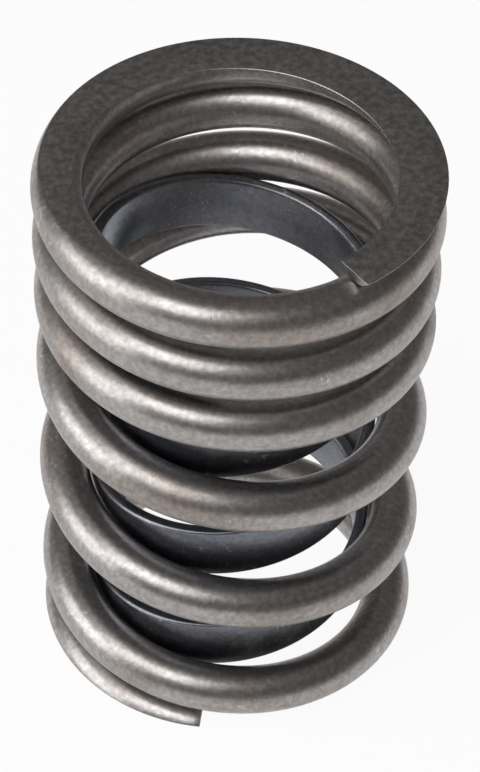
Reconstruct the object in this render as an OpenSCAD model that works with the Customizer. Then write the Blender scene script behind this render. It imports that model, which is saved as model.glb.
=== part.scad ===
// Engine valve spring: a left-hand coil of round wire with ground ends,
// and a right-hand coil of flat wire inside it that damps its vibration.
// Z is the spring's axis, and the lower ground face lies on Z = 0.

/* [Wire coil] */
// Outside diameter of the coil
coil_od = 31.75; // [28:0.25:42]
// Diameter of the round wire
wire_d = 4; // [3:0.05:4.5]
// Height that one turn of the close-wound coils takes
close_pitch = 5.55; // [5.1:0.05:7]
// Height that one turn of the open coils takes
open_pitch = 11.65; // [8:0.05:14]
// Turns from the upper tip to the end of the close winding
close_turns = 3.225; // [1.5:0.025:4]
// Turns from the upper tip to the end of the open winding
open_turns = 5.65; // [5:0.05:7]
// Turns over which the open winding runs down to the lower end coil
run_down = 0.6; // [0.4:0.05:1.2]
// Turns in the lower end coil
lower_end_turns = 0.625; // [0.3:0.025:1]

/* [Ground ends] */
// Turns in the upper end coil before its pitch grows
upper_end_turns = 0.9; // [0.5:0.05:1]
// Gap left under one turn of the upper end coil
upper_gap = 0.05; // [0.05:0.05:0.4]
// Gap left under one turn of the lower end coil
lower_gap = 0.15; // [0.05:0.05:0.5]
// Thickness that grinding leaves at the upper tip
upper_tip = 0.85; // [0.2:0.05:1.2]
// Thickness that grinding leaves at the lower tip
lower_tip = 0.7; // [0.2:0.05:1.2]
// Direction of the upper tip, from +X, counterclockwise from above
tip_direction = -52; // [-180:1:180]

/* [Damper strip] */
// Width of the flat wire, along the axis
strip_width = 5.1; // [3:0.1:6]
// Thickness of the flat wire
strip_thickness = 1; // [0.8:0.1:1.8]
// Bevel along the flat wire's edges
strip_bevel = 0.25; // [0.1:0.05:0.35]
// Turns in the damper
strip_turns = 3.35; // [2.5:0.05:4.5]
// Distance from the upper ground face down to the damper's top edge
strip_drop = 5.25; // [2:0.05:8]
// Running clearance between the damper and the wire around it
strip_clearance = 0.12; // [0.12:0.01:0.3]
// Direction of the damper's lower end, from +X, counterclockwise from above
strip_direction = 140; // [0:1:360]

/* [Hidden] */
wire_sides = 18;
wire_rings_per_turn = 36;
strip_rings_per_turn = 40;

wire_r = wire_d / 2;
coil_r = coil_od / 2 - wire_r;
upper_end_pitch = wire_d + upper_gap;
lower_end_pitch = wire_d + lower_gap;
// Turns over which the pitch changes at each end of the close winding
pitch_blend = 0.2;
// Pitch along the wire, as [turns from the upper tip, pitch] with straight lines between
pitch_stations = [
    [0, upper_end_pitch],
    [upper_end_turns, upper_end_pitch],
    [upper_end_turns + pitch_blend, close_pitch],
    [close_turns, close_pitch],
    [close_turns + pitch_blend, open_pitch],
    [open_turns, open_pitch],
    [open_turns + run_down, lower_end_pitch],
    [open_turns + run_down + lower_end_turns, lower_end_pitch],
];
coil_turns = open_turns + run_down + lower_end_turns;
free_height = drop(coil_turns) - wire_d + upper_tip + lower_tip;
upper_tip_z = free_height + wire_r - upper_tip;

strip_outer_r = coil_od / 2 - wire_d - strip_clearance;
strip_pitch = (free_height - strip_drop - strip_width) / strip_turns;

function pitch_at(turn) = lookup(turn, pitch_stations);

// Height lost from the upper tip down to a given turn, summed over the stations
function drop(turn, i = 0) =
    i > len(pitch_stations) - 2 || turn <= pitch_stations[i][0] ? 0 :
    let (
        from = pitch_stations[i][0],
        to = min(turn, pitch_stations[i + 1][0])
    )
    (pitch_at(from) + pitch_at(to)) / 2 * (to - from) + drop(turn, i + 1);

function on_axis_plane(radius, direction, z) = [radius * cos(direction), radius * sin(direction), z];

// Section of the round wire in the plane through the axis: an ellipse,
// because the wire climbs through that plane at a slant
function wire_ring(turn) =
    let (
        direction = tip_direction + 360 * turn,
        slope = pitch_at(turn) / (2 * PI * coil_r),
        half_height = wire_r * sqrt(1 + slope * slope)
    )
    [for (j = [0:wire_sides - 1])
        let (a = 360 * j / wire_sides)
        on_axis_plane(coil_r + wire_r * cos(a), direction, upper_tip_z - drop(turn) + half_height * sin(a))];

// Section of the flat wire, with bevelled edges
function strip_ring(turn) =
    let (
        direction = strip_direction + 360 * turn,
        z = strip_pitch * turn,
        outer = strip_outer_r,
        inner = strip_outer_r - strip_thickness,
        b = strip_bevel,
        w = strip_width
    )
    [for (p = [
            [outer, b], [outer, w - b], [outer - b, w], [inner + b, w],
            [inner, w - b], [inner, b], [inner + b, 0], [outer - b, 0]
        ])
        on_axis_plane(p[0], direction, z + p[1])];

// Closed solid through rings of equally many points
module skin(rings) {
    count = len(rings);
    sides = len(rings[0]);
    walls = [
        for (i = [0:count - 2], j = [0:sides - 1])
            let (
                a = i * sides + j,
                b = i * sides + (j + 1) % sides
            )
            each [[a, b, b + sides], [a, b + sides, a + sides]]
    ];
    start_cap = [for (j = [sides - 1:-1:0]) j];
    end_cap = [for (j = [0:sides - 1]) (count - 1) * sides + j];
    polyhedron([for (ring = rings) each ring], concat([start_cap, end_cap], walls));
}

function steps(turns, per_turn) =
    let (count = ceil(turns * per_turn))
    [for (i = [0:count]) turns * i / count];

// Round wire wound left-handed and ground flat at both ends
module wire_coil() {
    color([0.56, 0.55, 0.54])
    intersection() {
        skin([for (turn = steps(coil_turns, wire_rings_per_turn)) wire_ring(turn)]);
        cylinder(h = free_height, r = coil_od, $fn = 4);
    }
}

// Flat wire wound right-handed, standing on the same seat as the coil around it
module damper_strip() {
    color([0.33, 0.34, 0.38])
    skin([for (turn = steps(strip_turns, strip_rings_per_turn)) strip_ring(turn)]);
}

wire_coil();
damper_strip();
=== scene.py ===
"""Engine valve spring: a ground coil of round wire with a counter-wound flat-wire damper inside it."""

import math

import bmesh
import bpy
from mathutils import Matrix, Vector


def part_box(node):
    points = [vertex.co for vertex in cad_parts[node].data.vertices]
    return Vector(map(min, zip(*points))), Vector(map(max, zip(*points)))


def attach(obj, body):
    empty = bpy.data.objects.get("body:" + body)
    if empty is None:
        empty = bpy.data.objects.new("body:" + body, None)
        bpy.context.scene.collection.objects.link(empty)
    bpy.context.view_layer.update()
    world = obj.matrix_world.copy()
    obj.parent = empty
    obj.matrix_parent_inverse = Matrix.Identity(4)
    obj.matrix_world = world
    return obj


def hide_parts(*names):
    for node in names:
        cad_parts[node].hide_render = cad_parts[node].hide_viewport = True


bl_info = {
    "name": "Valve Spring",
    "version": (1, 0, 0),
    "blender": (4, 5, 0),
    "location": "View3D > Sidebar > Valve Spring",
    "description": "Builds a valve spring with its flat-wire damper, its finishes and a small studio",
    "category": "Add Mesh",
}

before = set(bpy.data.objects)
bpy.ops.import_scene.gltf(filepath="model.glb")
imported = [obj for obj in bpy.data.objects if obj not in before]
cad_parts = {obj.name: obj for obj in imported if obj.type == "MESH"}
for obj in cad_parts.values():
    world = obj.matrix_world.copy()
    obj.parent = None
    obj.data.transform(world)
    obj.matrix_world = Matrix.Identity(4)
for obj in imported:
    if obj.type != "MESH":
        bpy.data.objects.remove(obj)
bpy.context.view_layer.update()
FREE_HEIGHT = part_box("wire_coil")[1][2]

AXIS = (0.0, 0.0, 1.0)
ORIGIN = (0.0, 0.0, 0.0)

# Steps along one half of the round wire's outline: each ground edge, and the arc between them
FILLET_STEPS = 3
ARC_STEPS = 24
# Steps round each of the flat wire's four corners
CORNER_STEPS = 5
WIRE_STEPS_PER_TURN = 120
STRIP_STEPS_PER_TURN = 144
# Bevels round the cut ends of the two wires
WIRE_END_BEVEL = 0.00006
STRIP_END_BEVEL = 0.00008
# Vertices closer than this are the same one
MERGE_DISTANCE = 1e-6

# Share of plain white in the floor, as the camera sees it and as the steel mirrors it
FLOOR_WHITE_SEEN = 0.94
FLOOR_WHITE_MIRRORED = 0.75

# Place, width and height of the two soft lights, and the point that they face
SIDE_LIGHT = ((-0.45, -0.14, 0.22), 0.36, 0.4)
TOP_LIGHT = ((-0.14, -0.21, 0.43), 0.28, 0.3)
LIGHT_AIM = (0.0, 0.0, 0.025)

# The camera looks along +Y and down, at a point on the spring's axis
CAMERA_ELEVATION = math.radians(45.893)
CAMERA_ROLL = 0.0333
CAMERA_AIM = (0.0, 0.00012, 0.02399)
CAMERA_DISTANCE = 0.23441
CAMERA_LENS = 133.75
CAMERA_SHIFT = (0.00943, 0.0156)

# Scales are per metre, depths are in metres, and contrasts are shares of the colour
PEENED_FINISH = {
    "stain_scale": 75.0, "stain_amount": 0.7, "roughness": (0.35, 0.44),
    "grain_scale": 2200.0, "grain_depth": 0.00001, "grain_contrast": 0.17,
    "lines_across": 2600.0, "lines_along": 30.0, "lines_depth": 0.000003, "lines_contrast": 0.08,
    "fleck_scale": 1300.0, "fleck_amount": 0.55,
}
GROUND_FINISH = {
    "stain_scale": 130.0, "stain_amount": 0.5, "roughness": (0.45, 0.55),
    "grain_scale": 1700.0, "grain_depth": 0.00002, "grain_contrast": 0.26,
    "lines_across": 1600.0, "lines_along": 60.0, "lines_depth": 0.00001, "lines_contrast": 0.1,
    "fleck_scale": 1500.0, "fleck_amount": 0.25,
}
BLUED_FINISH = {
    "stain_scale": 140.0, "stain_amount": 0.3, "roughness": (0.28, 0.42),
    "grain_scale": 2200.0, "grain_depth": 0.00001, "grain_contrast": 0.14,
    "lines_across": 3200.0, "lines_along": 40.0, "lines_depth": 0.000005, "lines_contrast": 0.12,
    "fleck_scale": 1400.0, "fleck_amount": 0.7,
}


class WireSizes(bpy.types.PropertyGroup):
    outside_diameter: bpy.props.FloatProperty(
        name="Outside Diameter", description="Outside diameter of the coil",
        default=0.03175, unit="LENGTH", precision=5)
    wire_diameter: bpy.props.FloatProperty(
        name="Wire Diameter", description="Diameter of the round wire",
        default=0.004, unit="LENGTH", precision=5)
    end_pitch_upper: bpy.props.FloatProperty(
        name="Upper End Pitch", description="Height that one turn of the upper end coil takes",
        default=0.00405, unit="LENGTH", precision=5)
    close_pitch: bpy.props.FloatProperty(
        name="Close Pitch", description="Height that one turn of the close-wound coils takes",
        default=0.00555, unit="LENGTH", precision=5)
    open_pitch: bpy.props.FloatProperty(
        name="Open Pitch", description="Height that one turn of the open coils takes",
        default=0.01165, unit="LENGTH", precision=5)
    end_pitch_lower: bpy.props.FloatProperty(
        name="Lower End Pitch", description="Height that one turn of the lower end coil takes",
        default=0.00415, unit="LENGTH", precision=5)
    tip_thickness: bpy.props.FloatProperty(
        name="Upper Tip Thickness", description="Thickness that grinding leaves at the upper tip",
        default=0.00085, unit="LENGTH", precision=5)
    tip_direction: bpy.props.FloatProperty(
        name="Tip Direction", description="Direction of the upper tip, counterclockwise from +X",
        default=math.radians(-52), unit="ROTATION")
    ground_edge: bpy.props.FloatProperty(
        name="Ground Edge", description="Rounding along the edges of the ground faces",
        default=0.00012, unit="LENGTH", precision=5)


class DamperSizes(bpy.types.PropertyGroup):
    clearance: bpy.props.FloatProperty(
        name="Clearance", description="Gap between the damper and the wire around it",
        default=0.00012, unit="LENGTH", precision=5)
    width: bpy.props.FloatProperty(
        name="Width", description="Width of the flat wire, along the axis",
        default=0.0051, unit="LENGTH", precision=5)
    thickness: bpy.props.FloatProperty(
        name="Thickness", description="Thickness of the flat wire",
        default=0.001, unit="LENGTH", precision=5)
    edge_radius: bpy.props.FloatProperty(
        name="Edge Radius", description="Rounding of the rolled edges",
        default=0.00032, unit="LENGTH", precision=5)
    turns: bpy.props.FloatProperty(
        name="Turns", description="Turns in the damper", default=3.35)
    top_drop: bpy.props.FloatProperty(
        name="Top Drop", description="Distance from the upper ground face down to the damper's top",
        default=0.00525, unit="LENGTH", precision=5)
    direction: bpy.props.FloatProperty(
        name="Lower End Direction", description="Direction of the lower end, counterclockwise from +X",
        default=math.radians(140), unit="ROTATION")


class FinishColours(bpy.types.PropertyGroup):
    wire_steel: bpy.props.FloatVectorProperty(
        name="Wire Steel", description="Colour of the peened wire",
        default=(0.415, 0.395, 0.385, 1.0), size=4, min=0.0, max=1.0, subtype="COLOR")
    wire_tint: bpy.props.FloatVectorProperty(
        name="Warm Tint", description="Colour of the faint brown stains on the wire",
        default=(0.31, 0.255, 0.22, 1.0), size=4, min=0.0, max=1.0, subtype="COLOR")
    ground_steel: bpy.props.FloatVectorProperty(
        name="Ground Steel", description="Colour of the ground end faces",
        default=(0.37, 0.355, 0.345, 1.0), size=4, min=0.0, max=1.0, subtype="COLOR")
    damper_steel: bpy.props.FloatVectorProperty(
        name="Damper Steel", description="Colour of the blued flat wire",
        default=(0.2, 0.21, 0.24, 1.0), size=4, min=0.0, max=1.0, subtype="COLOR")
    bare_steel: bpy.props.FloatVectorProperty(
        name="Bare Steel", description="Colour of the small flecks where the finish has come off",
        default=(0.72, 0.71, 0.7, 1.0), size=4, min=0.0, max=1.0, subtype="COLOR")


class StageSettings(bpy.types.PropertyGroup):
    floor_size: bpy.props.FloatProperty(
        name="Floor Size", description="Side of the square floor", default=4.0, unit="LENGTH")
    floor_colour: bpy.props.FloatVectorProperty(
        name="Floor", description="Colour of the floor",
        default=(0.92, 0.92, 0.92, 1.0), size=4, min=0.0, max=1.0, subtype="COLOR")
    side_light: bpy.props.FloatProperty(
        name="Side Light", description="Power of the large soft light on the left",
        default=1.25, unit="POWER")
    top_light: bpy.props.FloatProperty(
        name="Top Light", description="Power of the soft light above, on the left and in front",
        default=0.9, unit="POWER")
    room_light: bpy.props.FloatProperty(
        name="Room Light", description="Brightness of the room around the stage", default=0.14)


# ---------------------------------------------------------------- coil shapes


def pitch_stations(sizes):
    """Turns from the upper tip, each with the pitch there; it changes evenly from one to the next."""
    return [
        (0.0, sizes.end_pitch_upper), (0.9, sizes.end_pitch_upper),
        (1.1, sizes.close_pitch), (3.225, sizes.close_pitch),
        (3.425, sizes.open_pitch), (5.65, sizes.open_pitch),
        (6.25, sizes.end_pitch_lower), (6.875, sizes.end_pitch_lower),
    ]


def pitch_at(turn, stations):
    for (start, before), (end, after) in zip(stations, stations[1:]):
        if turn <= end:
            return before + (after - before) * (turn - start) / (end - start)
    return stations[-1][1]


def fall_to(turn, stations):
    """Height lost from the upper tip down to a turn."""
    fall = 0.0
    for (start, before), (end, _) in zip(stations, stations[1:]):
        if turn <= start:
            break
        reach = min(turn, end)
        fall += (before + pitch_at(reach, [(start, before), (end, _)])) / 2 * (reach - start)
    return fall


def wire_half_outline(radius, half_height, centre_z, edge):
    """Outer half of the wire's outline, cut off by the two ground planes."""
    def cut(sine, flat_z, side):
        angle = math.asin(max(-1.0, min(1.0, sine)))
        width = radius * math.cos(angle)
        rounding = min(edge, 0.4 * width)
        arc_angle = angle - side * rounding / radius
        on_flat = Vector((width - rounding, flat_z))
        corner = Vector((width, flat_z))
        on_arc = Vector((radius * math.cos(arc_angle), centre_z + half_height * math.sin(arc_angle)))
        points = [Vector((0.0, flat_z)), on_flat * 0.5 + Vector((0.0, flat_z * 0.5))]
        for step in range(FILLET_STEPS + 1):
            t = step / FILLET_STEPS
            points.append(on_flat * (1 - t) ** 2 + corner * 2 * t * (1 - t) + on_arc * t ** 2)
        return points, arc_angle

    top_z = min(centre_z + half_height, FREE_HEIGHT)
    bottom_z = max(centre_z - half_height, 0.0)
    top, top_angle = cut((top_z - centre_z) / half_height, top_z, 1)
    bottom, bottom_angle = cut((bottom_z - centre_z) / half_height, bottom_z, -1)
    arc = []
    for step in range(1, ARC_STEPS):
        angle = top_angle + (bottom_angle - top_angle) * step / ARC_STEPS
        arc.append(Vector((radius * math.cos(angle), centre_z + half_height * math.sin(angle))))
    return top + arc + bottom[::-1]


def ring_outline(half):
    """The whole outline: the outer half down, and its mirror image back up."""
    return half + [Vector((-point.x, point.y)) for point in half[-2:0:-1]]


def strip_outline(thickness, width, radius):
    """Outline of the flat wire, with its two rolled edges rounded."""
    points = []
    for x_side, z_side, start in ((1, 1, 0), (-1, 1, 90), (-1, -1, 180), (1, -1, 270)):
        for step in range(CORNER_STEPS + 1):
            angle = math.radians(start + 90 * step / CORNER_STEPS)
            points.append(Vector((
                x_side * (thickness / 2 - radius) + radius * math.cos(angle),
                width / 2 + z_side * (width / 2 - radius) + radius * math.sin(angle))))
    return points


def closed_ring(bm, count):
    """A closed ring of vertices that the sweep starts from."""
    ring = bmesh.ops.create_circle(bm, cap_ends=False, radius=0.001, segments=count)["verts"]
    return list(ring), list({edge for vert in ring for edge in vert.link_edges})


def wind(bm, count, turns, steps, climb, place):
    """Spin a ring round the axis, one step at a time, and place each new ring's vertices."""
    angle = 2 * math.pi * turns / steps
    layer = bm.verts.layers.int.new("ring")
    rank = bm.verts.layers.int.new("rank")
    verts, edges = closed_ring(bm, count)
    for number, vert in enumerate(verts):
        vert[layer], vert[rank] = 0, number
    place(verts, 0)
    for step in range(1, steps + 1):
        spun = bmesh.ops.spin(
            bm, geom=edges, cent=ORIGIN, axis=AXIS, dvec=(0.0, 0.0, climb(step)),
            angle=angle, steps=1, use_duplicate=False)["geom_last"]
        edges = [item for item in spun if isinstance(item, bmesh.types.BMEdge)]
        verts = sorted((item for item in spun if isinstance(item, bmesh.types.BMVert)),
                       key=lambda vert: vert[rank])
        for vert in verts:
            vert[layer] = step
        place(verts, step)
    return layer, rank


def cap_ends(bm, bevel):
    """Close the two open ends of a sweep and break their edges."""
    rims = [edge for edge in bm.edges if edge.is_boundary]
    caps = bmesh.ops.holes_fill(bm, edges=rims, sides=0)["faces"]
    outline = list({edge for face in caps for edge in face.edges})
    bmesh.ops.bevel(
        bm, geom=outline, offset=bevel, offset_type="OFFSET", segments=2, profile=0.5,
        material=-1, affect="EDGES", clamp_overlap=True)


def lay_uv(bm, layer, rank, count, steps, length, girth):
    """UV in metres: along the wire, and round its outline."""
    uv = bm.loops.layers.uv.new("along_wire")
    for face in bm.faces:
        ranks = [loop.vert[rank] for loop in face.loops]
        wraps = max(ranks) - min(ranks) > count // 2
        for loop, number in zip(face.loops, ranks):
            if wraps and number < count // 2:
                number += count
            loop[uv].uv = (loop.vert[layer] / steps * length, number / count * girth)


def finish_piece(bm, name, materials, node):
    """Turn a bmesh into a piece of the spring, in place, hang it under the root body's empty, and hide
    the CAD part that it stands for.
    """
    mesh = bpy.data.meshes.new(name)
    bm.to_mesh(mesh)
    bm.free()
    for material in materials:
        mesh.materials.append(material)
    piece = bpy.data.objects.new(name, mesh)
    bpy.context.scene.collection.objects.link(piece)
    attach(piece, "root")
    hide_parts(node)
    return piece


# ---------------------------------------------------------------- finishes


def add_node(tree, kind, inputs=(), **settings):
    node = tree.nodes.new(kind)
    for name, value in settings.items():
        setattr(node, name, value)
    for name, value in dict(inputs).items():
        if isinstance(value, bpy.types.NodeSocket):
            tree.links.new(value, node.inputs[name])
        else:
            node.inputs[name].default_value = value
    return node


def new_group(name, inputs, outputs):
    tree = bpy.data.node_groups.new(name, "ShaderNodeTree")
    for label, kind, default in inputs:
        socket = tree.interface.new_socket(name=label, in_out="INPUT", socket_type=kind)
        if default is not None:
            socket.default_value = default
    for label, kind in outputs:
        tree.interface.new_socket(name=label, in_out="OUTPUT", socket_type=kind)
    return tree, tree.nodes.new("NodeGroupInput"), tree.nodes.new("NodeGroupOutput")


def peened_grain_group():
    """Shallow overlapping dimples of shot peening, with a speckle mask."""
    tree, given, out = new_group(
        "Peened Grain",
        [("Vector", "NodeSocketVector", None), ("Scale", "NodeSocketFloat", 3000.0)],
        [("Height", "NodeSocketFloat"), ("Speckle", "NodeSocketFloat")])
    dimples = add_node(tree, "ShaderNodeTexVoronoi", feature="SMOOTH_F1", inputs={
        "Vector": given.outputs["Vector"], "Scale": given.outputs["Scale"], "Smoothness": 0.6})
    grain = add_node(tree, "ShaderNodeTexNoise", inputs={
        "Vector": given.outputs["Vector"], "Scale": given.outputs["Scale"], "Detail": 3.0,
        "Roughness": 0.65})
    height = add_node(tree, "ShaderNodeMath", operation="MULTIPLY_ADD", inputs={
        0: dimples.outputs["Distance"], 1: 0.6, 2: grain.outputs["Fac"]})
    tree.links.new(height.outputs[0], out.inputs["Height"])
    speckle = add_node(tree, "ShaderNodeMapRange", inputs={
        "Value": grain.outputs["Fac"], "From Min": 0.38, "From Max": 0.66})
    tree.links.new(speckle.outputs[0], out.inputs["Speckle"])
    return tree


def stain_group():
    """Cloudy patches of a second colour laid over the first."""
    tree, given, out = new_group(
        "Patchy Tint",
        [("Vector", "NodeSocketVector", None), ("Scale", "NodeSocketFloat", 90.0),
         ("Colour", "NodeSocketColor", None), ("Tint", "NodeSocketColor", None),
         ("Amount", "NodeSocketFloat", 0.5)],
        [("Colour", "NodeSocketColor"), ("Mask", "NodeSocketFloat")])
    clouds = add_node(tree, "ShaderNodeTexNoise", inputs={
        "Vector": given.outputs["Vector"], "Scale": given.outputs["Scale"], "Detail": 4.0,
        "Roughness": 0.6, "Distortion": 0.6})
    patch = add_node(tree, "ShaderNodeMapRange", interpolation_type="SMOOTHSTEP", inputs={
        "Value": clouds.outputs["Fac"], "From Min": 0.46, "From Max": 0.7})
    share = add_node(tree, "ShaderNodeMath", operation="MULTIPLY", inputs={
        0: patch.outputs[0], 1: given.outputs["Amount"]})
    mix = add_node(tree, "ShaderNodeMix", data_type="RGBA", inputs={0: share.outputs[0]})
    tree.links.new(given.outputs["Colour"], mix.inputs[6])
    tree.links.new(given.outputs["Tint"], mix.inputs[7])
    tree.links.new(mix.outputs[2], out.inputs["Colour"])
    tree.links.new(patch.outputs[0], out.inputs["Mask"])
    return tree


def drawn_lines_group():
    """Faint lines left along the wire by the drawing die, on the piece's own UV map."""
    tree, given, out = new_group(
        "Drawn Lines",
        [("Lines", "NodeSocketFloat", 5000.0), ("Length", "NodeSocketFloat", 60.0)],
        [("Height", "NodeSocketFloat")])
    uv = add_node(tree, "ShaderNodeUVMap", uv_map="along_wire")
    split = add_node(tree, "ShaderNodeSeparateXYZ", inputs={0: uv.outputs["UV"]})
    along = add_node(tree, "ShaderNodeMath", operation="MULTIPLY", inputs={
        0: split.outputs["X"], 1: given.outputs["Length"]})
    across = add_node(tree, "ShaderNodeMath", operation="MULTIPLY", inputs={
        0: split.outputs["Y"], 1: given.outputs["Lines"]})
    stretched = add_node(tree, "ShaderNodeCombineXYZ", inputs={
        "X": along.outputs[0], "Y": across.outputs[0]})
    lines = add_node(tree, "ShaderNodeTexNoise", inputs={
        "Vector": stretched.outputs[0], "Scale": 1.0, "Detail": 3.0, "Roughness": 0.6})
    tree.links.new(lines.outputs["Fac"], out.inputs["Height"])
    return tree


def flecks_group():
    """Small bare spots, thrown together in loose patches."""
    tree, given, out = new_group(
        "Bright Flecks",
        [("Vector", "NodeSocketVector", None), ("Scale", "NodeSocketFloat", 1200.0),
         ("Amount", "NodeSocketFloat", 0.5)],
        [("Mask", "NodeSocketFloat")])
    spots = add_node(tree, "ShaderNodeTexNoise", inputs={
        "Vector": given.outputs["Vector"], "Scale": given.outputs["Scale"], "Detail": 2.0,
        "Roughness": 0.5, "Distortion": 1.5})
    sharp = add_node(tree, "ShaderNodeMapRange", inputs={
        "Value": spots.outputs["Fac"], "From Min": 0.64, "From Max": 0.7})
    spread = add_node(tree, "ShaderNodeTexNoise", inputs={
        "Vector": given.outputs["Vector"], "Scale": 120.0, "Detail": 1.0})
    patches = add_node(tree, "ShaderNodeMapRange", inputs={
        "Value": spread.outputs["Fac"], "From Min": 0.48, "From Max": 0.62})
    mask = add_node(tree, "ShaderNodeMath", operation="MULTIPLY", inputs={
        0: sharp.outputs[0], 1: patches.outputs[0]})
    share = add_node(tree, "ShaderNodeMath", operation="MULTIPLY", inputs={
        0: mask.outputs[0], 1: given.outputs["Amount"]})
    tree.links.new(share.outputs[0], out.inputs["Mask"])
    return tree


def group_node(tree, group, inputs=()):
    node = tree.nodes.new("ShaderNodeGroup")
    node.node_tree = group
    for name, value in dict(inputs).items():
        if isinstance(value, bpy.types.NodeSocket):
            tree.links.new(value, node.inputs[name])
        else:
            node.inputs[name].default_value = value
    return node


def steel(name, groups, colour, tint, bare, finish):
    """Steel with cloudy stains, peened grain, drawn lines and bare flecks, each at its own strength."""
    material = bpy.data.materials.new(name)
    material.use_nodes = True
    tree = material.node_tree
    tree.nodes.clear()
    place = add_node(tree, "ShaderNodeTexCoord").outputs["Object"]
    tinted = group_node(tree, groups["stain"], {
        "Vector": place, "Scale": finish["stain_scale"], "Amount": finish["stain_amount"],
        "Colour": tuple(colour), "Tint": tuple(tint)})
    peened = group_node(tree, groups["grain"], {"Vector": place, "Scale": finish["grain_scale"]})
    drawn = group_node(tree, groups["lines"], {
        "Lines": finish["lines_across"], "Length": finish["lines_along"]})

    shade = add_node(tree, "ShaderNodeMapRange", inputs={
        "Value": peened.outputs["Speckle"],
        "To Min": 1.0 - finish["grain_contrast"], "To Max": 1.0 + finish["grain_contrast"]})
    streak = add_node(tree, "ShaderNodeMapRange", inputs={
        "Value": drawn.outputs["Height"], "From Min": 0.3, "From Max": 0.7,
        "To Min": 1.0 - finish["lines_contrast"], "To Max": 1.0 + finish["lines_contrast"]})
    both = add_node(tree, "ShaderNodeMath", operation="MULTIPLY", inputs={
        0: shade.outputs[0], 1: streak.outputs[0]})
    base = add_node(tree, "ShaderNodeVectorMath", operation="SCALE", inputs={
        0: tinted.outputs["Colour"], "Scale": both.outputs[0]})
    worn = group_node(tree, groups["flecks"], {
        "Vector": place, "Scale": finish["fleck_scale"], "Amount": finish["fleck_amount"]})
    colours = add_node(tree, "ShaderNodeMix", data_type="RGBA", inputs={0: worn.outputs["Mask"]})
    tree.links.new(base.outputs[0], colours.inputs[6])
    colours.inputs[7].default_value = tuple(bare)
    smooth, rough = finish["roughness"]
    roughness = add_node(tree, "ShaderNodeMapRange", inputs={
        "Value": tinted.outputs["Mask"], "To Min": smooth, "To Max": rough})
    grain_bump = add_node(tree, "ShaderNodeBump", inputs={
        "Height": peened.outputs["Height"], "Strength": 1.0, "Distance": finish["grain_depth"]})
    line_bump = add_node(tree, "ShaderNodeBump", inputs={
        "Height": drawn.outputs["Height"], "Strength": 1.0, "Distance": finish["lines_depth"],
        "Normal": grain_bump.outputs[0]})
    shader = add_node(tree, "ShaderNodeBsdfPrincipled", inputs={
        "Base Color": colours.outputs[2], "Metallic": 1.0, "Roughness": roughness.outputs[0],
        "Normal": line_bump.outputs[0]})
    add_node(tree, "ShaderNodeOutputMaterial", inputs={"Surface": shader.outputs[0]})
    return material


def shared_groups():
    return {"grain": peened_grain_group(), "stain": stain_group(), "lines": drawn_lines_group(),
            "flecks": flecks_group()}


def floor_material(colour):
    """Pale floor that reads white, and still darkens a little under the spring."""
    material = bpy.data.materials.new("pale_floor")
    material.use_nodes = True
    tree = material.node_tree
    tree.nodes.clear()
    matte = add_node(tree, "ShaderNodeBsdfDiffuse", inputs={"Color": tuple(colour)})
    white = add_node(tree, "ShaderNodeEmission", inputs={"Color": (1.0, 1.0, 1.0, 1.0)})
    path = add_node(tree, "ShaderNodeLightPath")
    mirrored = add_node(tree, "ShaderNodeMath", operation="MAXIMUM", inputs={
        0: path.outputs["Is Glossy Ray"], 1: path.outputs["Is Transmission Ray"]})
    dimmed = add_node(tree, "ShaderNodeMath", operation="MULTIPLY", inputs={
        0: mirrored.outputs[0], 1: FLOOR_WHITE_MIRRORED})
    share = add_node(tree, "ShaderNodeMath", operation="MULTIPLY_ADD", inputs={
        0: path.outputs["Is Camera Ray"], 1: FLOOR_WHITE_SEEN, 2: dimmed.outputs[0]})
    mix = add_node(tree, "ShaderNodeMixShader", inputs={0: share.outputs[0]})
    tree.links.new(matte.outputs[0], mix.inputs[1])
    tree.links.new(white.outputs[0], mix.inputs[2])
    add_node(tree, "ShaderNodeOutputMaterial", inputs={"Surface": mix.outputs[0]})
    return material


# ---------------------------------------------------------------- operators


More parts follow.
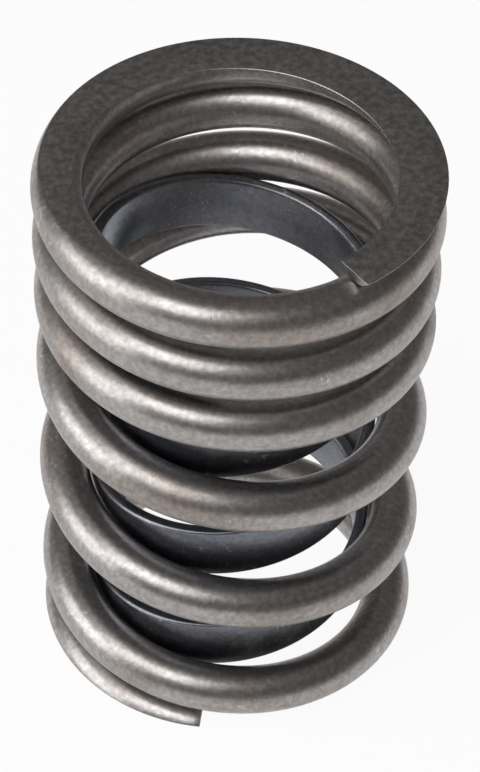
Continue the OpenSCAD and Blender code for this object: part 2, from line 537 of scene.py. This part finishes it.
class SPRING_OT_round_wire(bpy.types.Operator):
    """Wind the round wire and grind its two ends flat"""
    bl_idname = "valve_spring.round_wire"
    bl_label = "Round Wire Coil"

    def execute(self, context):
        sizes = context.scene.spring_wire
        colours = context.scene.spring_colours
        stations = pitch_stations(sizes)
        turns = stations[-1][0]
        radius = sizes.wire_diameter / 2
        coil_radius = sizes.outside_diameter / 2 - radius
        tip_z = FREE_HEIGHT + radius - sizes.tip_thickness
        steps = math.ceil(turns * WIRE_STEPS_PER_TURN)
        angle = 2 * math.pi * turns / steps

        def climb(step):
            return fall_to((step - 1) * turns / steps, stations) - fall_to(step * turns / steps, stations)

        def place(verts, step):
            turn = step * turns / steps
            slope = pitch_at(turn, stations) / (2 * math.pi * coil_radius)
            half_height = radius * math.sqrt(1 + slope * slope)
            outline = ring_outline(wire_half_outline(
                radius, half_height, tip_z - fall_to(turn, stations), sizes.ground_edge))
            spin = Matrix.Rotation(sizes.tip_direction + angle * step, 3, "Z")
            for vert, point in zip(verts, outline):
                vert.co = spin @ Vector((coil_radius + point.x, 0.0, point.y))

        count = len(ring_outline(wire_half_outline(radius, radius, FREE_HEIGHT / 2, 0.0)))
        bm = bmesh.new()
        layer, rank = wind(bm, count, turns, steps, climb, place)
        lay_uv(bm, layer, rank, count, steps, turns * 2 * math.pi * coil_radius, 2 * math.pi * radius)
        bmesh.ops.remove_doubles(bm, verts=bm.verts, dist=MERGE_DISTANCE)
        bmesh.ops.dissolve_degenerate(bm, edges=bm.edges, dist=1e-7)
        cap_ends(bm, WIRE_END_BEVEL)
        bmesh.ops.recalc_face_normals(bm, faces=bm.faces)
        for face in bm.faces:
            middle = face.calc_center_median().z
            ground = abs(face.normal.z) > 0.999 and (
                middle > FREE_HEIGHT - 1e-5 or middle < 1e-5)
            face.material_index = 1 if ground else 0
            face.smooth = True

        groups = shared_groups()
        peened = steel(
            "peened_steel", groups, colours.wire_steel, colours.wire_tint, colours.bare_steel,
            PEENED_FINISH)
        ground = steel(
            "ground_steel", groups, colours.ground_steel, colours.wire_tint, colours.bare_steel,
            GROUND_FINISH)
        piece = finish_piece(bm, "round_wire", [peened, ground], "wire_coil")
        if not piece.data.polygons:
            raise RuntimeError("the round wire has no faces")
        return {"FINISHED"}


class SPRING_OT_flat_damper(bpy.types.Operator):
    """Wind the flat wire the other way round, inside the coil"""
    bl_idname = "valve_spring.flat_damper"
    bl_label = "Flat Wire Damper"

    def execute(self, context):
        wire = context.scene.spring_wire
        sizes = context.scene.spring_damper
        colours = context.scene.spring_colours
        outer = wire.outside_diameter / 2 - wire.wire_diameter - sizes.clearance
        middle = outer - sizes.thickness / 2
        pitch = (FREE_HEIGHT - sizes.top_drop - sizes.width) / sizes.turns
        steps = math.ceil(sizes.turns * STRIP_STEPS_PER_TURN)
        angle = 2 * math.pi * sizes.turns / steps
        outline = strip_outline(sizes.thickness, sizes.width, sizes.edge_radius)

        def climb(step):
            return pitch * sizes.turns / steps

        def place(verts, step):
            spin = Matrix.Rotation(sizes.direction + angle * step, 3, "Z")
            rise = climb(step) * step
            for vert, point in zip(verts, outline):
                vert.co = spin @ Vector((middle + point.x, 0.0, rise + point.y))

        bm = bmesh.new()
        layer, rank = wind(bm, len(outline), sizes.turns, steps, climb, place)
        lay_uv(bm, layer, rank, len(outline), steps, sizes.turns * 2 * math.pi * middle,
               2 * (sizes.width + sizes.thickness))
        cap_ends(bm, STRIP_END_BEVEL)
        bmesh.ops.recalc_face_normals(bm, faces=bm.faces)
        for face in bm.faces:
            face.smooth = True
        blued = steel(
            "dark_strip_steel", shared_groups(), colours.damper_steel, colours.wire_tint,
            colours.bare_steel, BLUED_FINISH)
        piece = finish_piece(bm, "flat_damper", [blued], "damper_strip")
        if not piece.data.polygons:
            raise RuntimeError("the damper has no faces")
        return {"FINISHED"}


class SPRING_OT_stage(bpy.types.Operator):
    """Lay the pale floor and set the soft lights and the camera"""
    bl_idname = "valve_spring.stage"
    bl_label = "Studio Stage"

    def execute(self, context):
        settings = context.scene.spring_stage
        scene = context.scene

        bm = bmesh.new()
        bmesh.ops.create_grid(bm, x_segments=1, y_segments=1, size=settings.floor_size / 2)
        mesh = bpy.data.meshes.new("floor")
        bm.to_mesh(mesh)
        bm.free()
        mesh.materials.append(floor_material(settings.floor_colour))
        floor = bpy.data.objects.new("floor", mesh)
        scene.collection.objects.link(floor)

        self.add_light(scene, "side_light", settings.side_light, *SIDE_LIGHT)
        self.add_light(scene, "top_light", settings.top_light, *TOP_LIGHT)

        world = bpy.data.worlds.new("room")
        world.use_nodes = True
        background = world.node_tree.nodes["Background"]
        background.inputs["Color"].default_value = (1.0, 0.985, 0.97, 1.0)
        background.inputs["Strength"].default_value = settings.room_light
        scene.world = world
        scene.view_settings.view_transform = "Standard"
        self.add_camera(scene)
        return {"FINISHED"}

    def add_light(self, scene, name, power, place, width, height):
        lamp = bpy.data.lights.new(name, "AREA")
        lamp.energy = power
        lamp.shape = "RECTANGLE"
        lamp.size = width
        lamp.size_y = height
        holder = bpy.data.objects.new(name, lamp)
        aim = Vector(LIGHT_AIM) - Vector(place)
        turn = aim.to_track_quat("-Z", "Y").to_matrix().to_4x4()
        holder.matrix_world = Matrix.Translation(place) @ turn
        scene.collection.objects.link(holder)

    def add_camera(self, scene):
        forward = Vector((0.0, math.cos(CAMERA_ELEVATION), -math.sin(CAMERA_ELEVATION)))
        place = Vector(CAMERA_AIM) - forward * CAMERA_DISTANCE
        level = forward.cross(Vector(AXIS)).normalized()
        rise = level.cross(forward)
        right = level * math.cos(CAMERA_ROLL) + rise * math.sin(CAMERA_ROLL)
        up = rise * math.cos(CAMERA_ROLL) - level * math.sin(CAMERA_ROLL)
        lens = bpy.data.cameras.new("camera")
        lens.sensor_width = 36.0
        lens.lens = CAMERA_LENS
        lens.shift_x, lens.shift_y = CAMERA_SHIFT
        lens.clip_start = 0.01
        camera = bpy.data.objects.new("camera", lens)
        turn = Matrix((right, up, -forward)).transposed().to_4x4()
        camera.matrix_world = Matrix.Translation(place) @ turn
        scene.collection.objects.link(camera)
        scene.camera = camera


class SPRING_PT_sidebar(bpy.types.Panel):
    """Sizes, colours and steps of the valve spring"""
    bl_idname = "SPRING_PT_sidebar"
    bl_label = "Valve Spring"
    bl_space_type = "VIEW_3D"
    bl_region_type = "UI"
    bl_category = "Valve Spring"

    def draw(self, context):
        for group in PROPERTY_GROUPS:
            box = self.layout.box()
            settings = getattr(context.scene, group)
            for name in settings.__annotations__:
                box.prop(settings, name)
        for operator in OPERATORS:
            self.layout.operator(operator.bl_idname)


PROPERTY_GROUPS = {
    "spring_wire": WireSizes,
    "spring_damper": DamperSizes,
    "spring_colours": FinishColours,
    "spring_stage": StageSettings,
}
OPERATORS = (SPRING_OT_round_wire, SPRING_OT_flat_damper, SPRING_OT_stage)


def register():
    for name, group in PROPERTY_GROUPS.items():
        bpy.utils.register_class(group)
        setattr(bpy.types.Scene, name, bpy.props.PointerProperty(type=group))
    for operator in OPERATORS:
        bpy.utils.register_class(operator)
    bpy.utils.register_class(SPRING_PT_sidebar)


def unregister():
    bpy.utils.unregister_class(SPRING_PT_sidebar)
    for operator in reversed(OPERATORS):
        bpy.utils.unregister_class(operator)
    for name, group in reversed(PROPERTY_GROUPS.items()):
        delattr(bpy.types.Scene, name)
        bpy.utils.unregister_class(group)


def main():
    register()
    bpy.ops.valve_spring.round_wire()
    bpy.ops.valve_spring.flat_damper()
    bpy.ops.valve_spring.stage()


if __name__ == "__main__":
    main()
